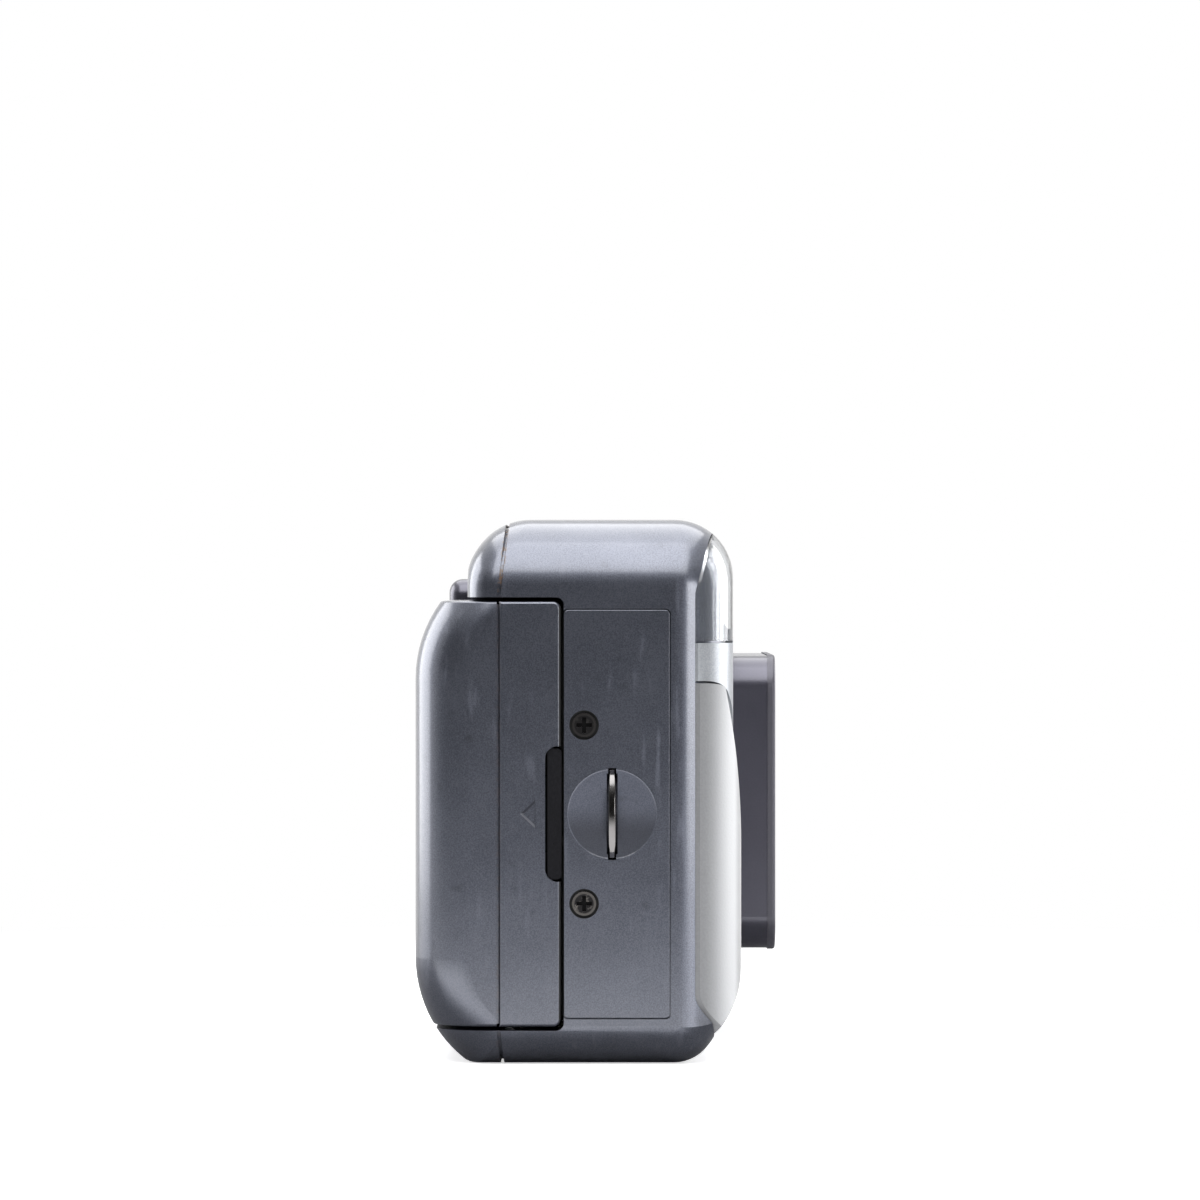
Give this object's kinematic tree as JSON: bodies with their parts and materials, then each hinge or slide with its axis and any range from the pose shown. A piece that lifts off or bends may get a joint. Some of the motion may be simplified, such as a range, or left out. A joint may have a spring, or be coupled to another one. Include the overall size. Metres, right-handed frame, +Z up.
{
  "type": "compact film camera",
  "caption": "Compact autofocus zoom camera for 35 mm film, with swinging back door, square lens surround, extending barrels and side strap lug.",
  "frame": {"origin": "centre of the tripod bush's mouth, in the plane of the base", "axes": "+Z up; the lens looks along -Y; +X to the viewer's left hand, the grip end is at -X"},
  "size_m": [0.125, 0.0475, 0.07],
  "materials": {
    "body_paint": "satin metallic paint over moulded plastic",
    "face_metal": "fine satin aluminium",
    "grip_rubber": "matte, fine grain",
    "lens_ring": "dark satin",
    "black_plastic": "matte black moulding",
    "black_gloss": "gloss black moulding",
    "clear_window": "clear polished",
    "lens_glass": "coated glass",
    "reflector": "bright metallised",
    "bright_steel": "polished",
    "screw_black": "blackened, worn at the cross",
    "spring_steel": "plain spring steel",
    "brass": "turned",
    "chrome_button": "satin chrome",
    "seal_foam": "black foam",
    "board_green": "coated board",
    "battery_sleeve": "plain sleeve",
    "display_grey": "liquid crystal panel",
    "gear_white": "natural acetal"
  },
  "bodies": {
    "body": {"front_cover": "body_paint", "rear_cover": "body_paint", "face_panel": "face_metal", "grip_panel": "grip_rubber", "flash_window": "clear_window", "flash_reflector": "reflector", "flash_tube": "clear_window", "side_panel": "body_paint", "strap_bar": "bright_steel", "side_screws": "screw_black", "base_screws": "screw_black", "chassis": "black_plastic", "light_seals": "seal_foam", "lens_cradle": "black_plastic", "lens_surround": "lens_ring", "lens_bezel": "lens_ring", "finder_body": "black_plastic", "finder_window": "clear_window", "eyepiece_frame": "black_plastic", "eyepiece_lens": "clear_window", "focus_windows": "black_gloss", "timer_lamp": "clear_window", "display_window": "clear_window", "display_panel": "display_grey", "battery": "battery_sleeve", "battery_contacts": "brass", "tripod_bush": "brass", "wind_motor": "spring_steel", "main_board": "board_green", "flash_capacitor": "black_gloss", "hinge_pin": "bright_steel"},
    "door": {"door_shell": "body_paint", "door_flange": "body_paint", "door_frame": "black_plastic", "film_window": "clear_window", "cartridge_spring": "spring_steel", "pressure_spring": "spring_steel"},
    "pressure_plate": {"pressure_plate": "black_gloss"},
    "latch": {"door_latch": "black_plastic"},
    "shutter_button": {"shutter_button": "chrome_button"},
    "power_button": {"power_button": "black_plastic"},
    "flash_button": {"flash_button": "black_plastic"},
    "timer_button": {"timer_button": "black_plastic"},
    "zoom_rocker": {"zoom_rocker": "black_plastic"},
    "rewind_button": {"rewind_button": "black_plastic"},
    "battery_cover": {"battery_cover": "body_paint"},
    "outer_barrel": {"outer_barrel": "black_plastic"},
    "inner_barrel": {"inner_barrel": "black_plastic", "front_lens": "lens_glass", "rear_lens": "lens_glass"},
    "barrier_upper": {"barrier_blade_upper": "black_gloss"},
    "barrier_lower": {"barrier_blade_lower": "black_gloss"},
    "shutter_upper": {"shutter_blade_upper": "black_plastic"},
    "shutter_lower": {"shutter_blade_lower": "black_plastic"},
    "takeup_spool": {"takeup_spool": "black_plastic"},
    "idler_gear": {"idler_gear": "gear_white"},
    "motor_pinion": {"motor_pinion": "brass"},
    "sprocket": {"sprocket": "black_plastic"},
    "rewind_fork": {"rewind_fork": "black_plastic"}
  },
  "joints": [
    {"name": "door_swing", "type": "hinge", "parent": "body", "child": "door", "pos_m": [0.0555, 0.0216, 0.0322], "axis": [0, 0, -1], "range_deg": [0, 105]},
    {"name": "pressure_plate_give", "type": "slide", "parent": "door", "child": "pressure_plate", "axis": [0, 1, 0], "range_m": [0, 0.00045], "stiffness_N_per_m": 600},
    {"name": "latch_press", "type": "slide", "parent": "body", "child": "latch", "axis": [1, 0, 0], "range_m": [0, 0.0009], "stiffness_N_per_m": 400},
    {"name": "shutter_press", "type": "slide", "parent": "body", "child": "shutter_button", "axis": [0, 0, -1], "range_m": [0, 0.001], "stiffness_N_per_m": 400},
    {"name": "power_press", "type": "slide", "parent": "body", "child": "power_button", "axis": [0, 0, -1], "range_m": [0, 0.0006], "stiffness_N_per_m": 400},
    {"name": "flash_press", "type": "slide", "parent": "body", "child": "flash_button", "axis": [0, 0, -1], "range_m": [0, 0.0006], "stiffness_N_per_m": 400},
    {"name": "timer_press", "type": "slide", "parent": "body", "child": "timer_button", "axis": [0, 0, -1], "range_m": [0, 0.0006], "stiffness_N_per_m": 400},
    {"name": "rewind_press", "type": "slide", "parent": "body", "child": "rewind_button", "axis": [0, 0, 1], "range_m": [0, 0.0006], "stiffness_N_per_m": 400},
    {"name": "zoom_rock", "type": "hinge", "parent": "body", "child": "zoom_rocker", "pos_m": [-0.043, 0.0054, 0.0689], "axis": [0, 1, 0], "range_deg": [-3.5, 3.5], "stiffness_Nm_per_rad": 0.05},
    {"name": "battery_cover_swing", "type": "hinge", "parent": "body", "child": "battery_cover", "pos_m": [-0.0236, 0.0042, 0.0004], "axis": [1, 0, 0], "range_deg": [0, 90]},
    {"name": "outer_barrel_slide", "type": "slide", "parent": "body", "child": "outer_barrel", "axis": [0, -1, 0], "range_m": [0, 0.012]},
    {"name": "inner_barrel_slide", "type": "slide", "parent": "outer_barrel", "child": "inner_barrel", "axis": [0, -1, 0], "range_m": [0, 0.01]},
    {"name": "barrier_upper_swing", "type": "hinge", "parent": "inner_barrel", "child": "barrier_upper", "pos_m": [0.0126, -0.0222, 0.0322], "axis": [0, 1, 0], "range_deg": [0, 36], "stiffness_Nm_per_rad": 0.0005},
    {"name": "barrier_lower_swing", "type": "hinge", "parent": "inner_barrel", "child": "barrier_lower", "pos_m": [-0.0066, -0.0222, 0.0322], "axis": [0, 1, 0], "range_deg": [0, 36], "stiffness_Nm_per_rad": 0.0005},
    {"name": "shutter_upper_swing", "type": "hinge", "parent": "inner_barrel", "child": "shutter_upper", "pos_m": [0.0104, -0.0131, 0.0322], "axis": [0, 1, 0], "range_deg": [0, 36], "stiffness_Nm_per_rad": 0.0005},
    {"name": "shutter_lower_swing", "type": "hinge", "parent": "inner_barrel", "child": "shutter_lower", "pos_m": [-0.0044, -0.0131, 0.0322], "axis": [0, 1, 0], "range_deg": [0, 36], "stiffness_Nm_per_rad": 0.0005},
    {"name": "spool_turn", "type": "hinge", "parent": "body", "child": "takeup_spool", "pos_m": [0.044, 0.0025, 0.0322], "axis": [0, 0, 1], "continuous": true},
    {"name": "idler_turn", "type": "hinge", "parent": "body", "child": "idler_gear", "pos_m": [0.02963, 0.0035, 0.0038], "axis": [0, 0, 1], "continuous": true},
    {"name": "pinion_turn", "type": "hinge", "parent": "body", "child": "motor_pinion", "pos_m": [0.0273, -0.0055, 0.0038], "axis": [0, 0, 1], "continuous": true},
    {"name": "sprocket_turn", "type": "hinge", "parent": "body", "child": "sprocket", "pos_m": [0.027, 0.0065, 0.0322], "axis": [0, 0, 1], "continuous": true},
    {"name": "rewind_fork_turn", "type": "hinge", "parent": "body", "child": "rewind_fork", "pos_m": [-0.0446, 0.003, 0.057], "axis": [0, 0, 1], "continuous": true}
  ],
  "couplings": [
    {"joint": "inner_barrel_slide", "follows": "outer_barrel_slide", "ratio": 0.8333},
    {"joint": "barrier_lower_swing", "follows": "barrier_upper_swing", "ratio": 1},
    {"joint": "shutter_lower_swing", "follows": "shutter_upper_swing", "ratio": 1},
    {"joint": "idler_turn", "follows": "spool_turn", "ratio": -1.2857},
    {"joint": "pinion_turn", "follows": "spool_turn", "ratio": 2.7}
  ]
}
